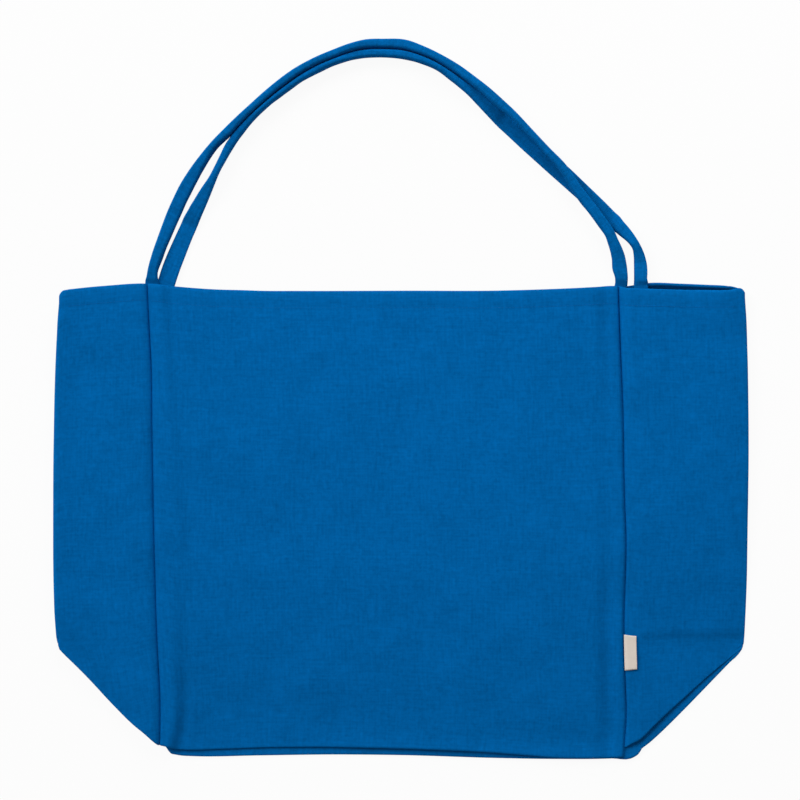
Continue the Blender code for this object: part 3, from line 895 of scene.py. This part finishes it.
def stitch_row(points):
    """Small bars of thread end to end along a line of points on the folded bag."""
    ring = np.linspace(0, 2 * math.pi, STITCH_SIDES + 1)[:-1]
    vertices, faces = [], []
    for x, y, z in points:
        start = len(vertices)
        for span, girth in STITCH_PROFILE:
            end, radius = x + span * STITCH_LENGTH / 2, girth * STITCH_RADIUS
            for angle in ring:
                vertices.append((end, y + radius * math.sin(angle), z + radius * math.cos(angle)))
        last = len(vertices) - STITCH_SIDES
        for first in range(start, last, STITCH_SIDES):
            for corner in range(STITCH_SIDES):
                low, high = first + corner, first + (corner + 1) % STITCH_SIDES
                faces.append((low, high, high + STITCH_SIDES, low + STITCH_SIDES))
        faces.append(tuple(range(start + STITCH_SIDES - 1, start - 1, -1)))
        faces.append(tuple(range(last, last + STITCH_SIDES)))
    return np.array(vertices), faces


def make_stitches(name, side, depth, material):
    """The line of stitches that holds the hem of a panel, side 0, or of half a side strip."""
    far_end = side * (SIDE_X - SIDE_RADIUS) if side else seam_x(-1, depth)
    low_x, high_x = sorted((far_end, seam_x(side or 1, depth)))
    count = int((high_x - low_x - STITCH_MARGIN) / STITCH_PITCH)
    places = (low_x + high_x) / 2 + (np.arange(count) - (count - 1) / 2) * STITCH_PITCH
    layer, outward = (LAYERS[0], 1) if depth == 0 else (LAYERS[3], -1)
    level = layer + outward * (CLOTH / 2 + STITCH_STAND * STITCH_RADIUS)
    centres = [(x, MOUTH_Y - STITCH_DROP, level) for x in places]
    vertices, faces = stitch_row(centres)
    mesh = bpy.data.meshes.new(name)
    mesh.from_pydata(lay(vertices, in_gusset=side != 0).tolist(), [], faces)
    mesh.materials.append(material)
    mesh.shade_smooth()
    thread = bpy.data.objects.new(name, mesh)
    bag.objects.link(thread)
    stands_for(thread, None)
    return thread


def give(node, **values):
    """Sets a node's inputs by name, with _ for a space."""
    for name, value in values.items():
        node.inputs[name.replace("_", " ")].default_value = value


class Nodes:
    """Short calls that build one material's nodes."""

    def __init__(self, name):
        self.material = bpy.data.materials.new(name)
        self.material.use_nodes = True
        self.tree = self.material.node_tree
        self.shader = self.tree.nodes["Principled BSDF"]

    def add(self, kind, **settings):
        node = self.tree.nodes.new(kind)
        for key, value in settings.items():
            setattr(node, key, value)
        return node

    def put(self, value, socket):
        if isinstance(value, bpy.types.NodeSocket):
            self.tree.links.new(value, socket)
        else:
            socket.default_value = value

    def math(self, operation, a, b=0):
        node = self.add("ShaderNodeMath", operation=operation)
        self.put(a, node.inputs[0])
        self.put(b, node.inputs[1])
        return node.outputs[0]

    def noise(self, vector, scale, detail=2, roughness=0.5):
        node = self.add("ShaderNodeTexNoise")
        self.put(vector, node.inputs["Vector"])
        give(node, Scale=scale, Detail=detail, Roughness=roughness)
        return node.outputs["Fac"]

    def stretched(self, vector, scale):
        node = self.add("ShaderNodeVectorMath", operation="MULTIPLY")
        self.put(vector, node.inputs[0])
        node.inputs[1].default_value = scale
        return node.outputs[0]

    def tinted(self, colour, tone):
        node = self.add("ShaderNodeVectorMath", operation="SCALE")
        node.inputs[0].default_value = colour
        self.put(tone, node.inputs["Scale"])
        self.put(node.outputs[0], self.shader.inputs["Base Color"])
        self.material.diffuse_color = (*colour, 1)


def weave(nodes, pitch):
    """Cloth coordinates and the height of a plain weave: each thread goes over and under."""
    uv = nodes.add("ShaderNodeUVMap", uv_map="cloth").outputs[0]
    parts = nodes.add("ShaderNodeSeparateXYZ")
    nodes.put(uv, parts.inputs[0])
    waves = []
    for axis in (0, 1):
        phase = nodes.math("MULTIPLY", parts.outputs[axis], math.pi / pitch)
        waves.append(nodes.math("SINE", phase))
    crossing = nodes.math("MULTIPLY", waves[0], waves[1])
    sizes = [nodes.math("ABSOLUTE", wave) for wave in waves]
    threads = nodes.math("ADD", *sizes)
    over, along = nodes.math("MULTIPLY", crossing, 0.35), nodes.math("MULTIPLY", threads, 0.3)
    return uv, nodes.math("ADD", over, along)


def cloth_material(name, colour, pitch, depth, contrast):
    """Dyed plain-weave cotton: threads, uneven yarns, mottled dye and paler worn edges."""
    nodes = Nodes(name)
    uv, height = weave(nodes, pitch)
    place = nodes.add("ShaderNodeTexCoord").outputs["Object"]
    # Scales are in features a metre: uneven yarns are about 2 mm thick and 22 mm long
    yarns = [
        nodes.noise(nodes.stretched(uv, (500, 45, 1)), 1),
        nodes.noise(nodes.stretched(uv, (45, 500, 1)), 1),
    ]
    yarn = nodes.math("ADD", *yarns)
    fleck = nodes.noise(place, 300, 3, 0.68)
    cloud = nodes.noise(place, 34, 3, 0.62)
    wear = nodes.add("ShaderNodeAttribute", attribute_name="wear").outputs["Fac"]
    # The weighted noises average 2.4 together, so unworn cloth keeps its colour
    tone = 1 - 2.4 * contrast
    for value, weight in ((yarn, 1.1), (fleck, 1.7), (cloud, 0.9), (wear, 0.25)):
        tone = nodes.math("ADD", tone, nodes.math("MULTIPLY", value, weight * contrast))
    nodes.tinted(colour, tone)
    roughness = nodes.math("ADD", nodes.math("MULTIPLY", fleck, 0.1), 0.85)
    nodes.put(roughness, nodes.shader.inputs["Roughness"])
    surface = nodes.math("ADD", height, nodes.math("MULTIPLY", yarn, 0.5))
    bumped = nodes.add("ShaderNodeBump")
    give(bumped, Strength=0.5, Distance=depth)
    nodes.put(surface, bumped.inputs["Height"])
    nodes.put(bumped.outputs[0], nodes.shader.inputs["Normal"])
    return nodes


def canvas_material(name, colour, weave_numbers):
    """The blue canvas. Its gloss and sheen are blue too, as dyed cotton has no white shine."""
    nodes = cloth_material(name, colour, *weave_numbers)
    give(nodes.shader, Specular_IOR_Level=0.03, Specular_Tint=(0, 0.3, 1, 1))
    give(nodes.shader, Sheen_Weight=0.06, Sheen_Roughness=0.5, Sheen_Tint=(0, 0.25, 0.75, 1))
    return nodes.material


def label_material():
    """Cream woven tape, finer than the canvas."""
    nodes = cloth_material("label_weave", LABEL_CREAM, *TAPE_WEAVE)
    give(nodes.shader, Specular_IOR_Level=0.2, Sheen_Weight=0.1)
    return nodes.material


def thread_material():
    """Sewing thread, banded finely as twisted plies are."""
    nodes = Nodes("sewing_thread")
    place = nodes.add("ShaderNodeTexCoord").outputs["Object"]
    twist = nodes.add("ShaderNodeTexWave", bands_direction="DIAGONAL")
    nodes.put(place, twist.inputs["Vector"])
    give(twist, Scale=900)
    tone = nodes.math("ADD", nodes.math("MULTIPLY", twist.outputs["Fac"], 0.08), 0.98)
    nodes.tinted(CANVAS_BLUE, tone)
    give(nodes.shader, Roughness=0.6, Specular_IOR_Level=0.1)
    return nodes.material


def paper_material():
    """The floor: nearly plain white to the camera, with a faint lit surface for the shadows."""
    nodes = Nodes("white_paper")
    give(nodes.shader, Base_Color=FLOOR_GREY, Roughness=1, Specular_IOR_Level=0)
    glow = nodes.add("ShaderNodeEmission")
    give(glow, Color=(SEEN_WHITE, SEEN_WHITE, SEEN_WHITE, 1))
    seen = nodes.add("ShaderNodeLightPath").outputs["Is Camera Ray"]
    blend = nodes.add("ShaderNodeMixShader")
    nodes.put(nodes.math("MULTIPLY", seen, WHITE_SHARE), blend.inputs[0])
    nodes.put(nodes.shader.outputs[0], blend.inputs[1])
    nodes.put(glow.outputs[0], blend.inputs[2])
    nodes.put(blend.outputs[0], nodes.tree.nodes["Material Output"].inputs["Surface"])
    return nodes.material


def make_floor():
    """A plain sheet just under the bag."""
    mesh = bpy.data.meshes.new("floor")
    corners = [(x * FLOOR_REACH, y * FLOOR_REACH, FLOOR_LEVEL)
               for x, y in ((-1, -1), (1, -1), (1, 1), (-1, 1))]
    mesh.from_pydata(corners, [], [(0, 1, 2, 3)])
    mesh.materials.append(paper_material())
    floor = bpy.data.objects.new("floor", mesh)
    scene.collection.objects.link(floor)


def make_lamp(name, place, size, power):
    """A soft square lamp turned to the middle of the bag."""
    data = bpy.data.lights.new(name, "AREA")
    data.shape = "SQUARE"
    data.size = size
    data.energy = power
    lamp = bpy.data.objects.new(name, data)
    lamp.location = place
    lamp.rotation_euler = (-Vector(place)).to_track_quat("-Z", "Y").to_euler()
    scene.collection.objects.link(lamp)


def make_world():
    """Even light from all round, white to the camera."""
    world = bpy.data.worlds.new("studio")
    world.use_nodes = True
    tree = world.node_tree
    background = tree.nodes["Background"]
    give(background, Color=(1, 1, 1, 1))
    seen = tree.nodes.new("ShaderNodeLightPath").outputs["Is Camera Ray"]
    level = tree.nodes.new("ShaderNodeMapRange")
    give(level, To_Min=WORLD_LEVEL, To_Max=SEEN_WHITE)
    tree.links.new(seen, level.inputs["Value"])
    tree.links.new(level.outputs[0], background.inputs["Strength"])
    scene.world = world


def make_camera():
    """Straight above the bag, framed as the photograph is."""
    data = bpy.data.cameras.new("camera")
    data.lens = LENS
    data.sensor_width = SENSOR
    camera = bpy.data.objects.new("camera", data)
    camera.location = CAMERA_PLACE
    scene.collection.objects.link(camera)
    bpy.context.scene.camera = camera


scene = bpy.context.scene
scene.view_settings.view_transform = "Standard"
bag = bpy.data.collections.new("cotton_tote_bag")
scene.collection.children.link(bag)

canvas = canvas_material("canvas_weave", CANVAS_BLUE, CANVAS_WEAVE)
strap = canvas_material("strap_weave", STRAP_BLUE, STRAP_WEAVE)
thread = thread_material()

front = make_canvas("front_cloth", "front_panel", *panel_points(0), canvas)
back = make_canvas("back_cloth", "back_panel", *panel_points(1), canvas)
base = make_canvas("base_cloth", "base_panel", *base_points(), canvas)
left = make_canvas("left_side_cloth", "left_gusset", *gusset_points(-1), canvas, in_gusset=True)
right = make_canvas("right_side_cloth", "right_gusset", *gusset_points(1), canvas, in_gusset=True)

front_handle, front_length, strap_cut = make_handle(
    "front_strap", FRONT_ROUTE, FRONT_HANG, "front_handle", 1.3, strap)
back_handle, back_length, _ = make_handle(
    "back_strap", BACK_ROUTE, BACK_HANG, "back_handle", 4.9, strap)
label, tape_length = make_label(label_material())

stitches = {
    name: make_stitches(f"{name}_hem_thread", side, depth, thread)
    for name, side, depth in (
        ("front", 0, 0), ("back", 0, 1), ("left", -1, 0), ("left_back", -1, 1),
        ("right", 1, 0), ("right_back", 1, 1),
    )
}

make_floor()
make_world()
for lamp in LAMPS:
    make_lamp(*lamp)
make_camera()
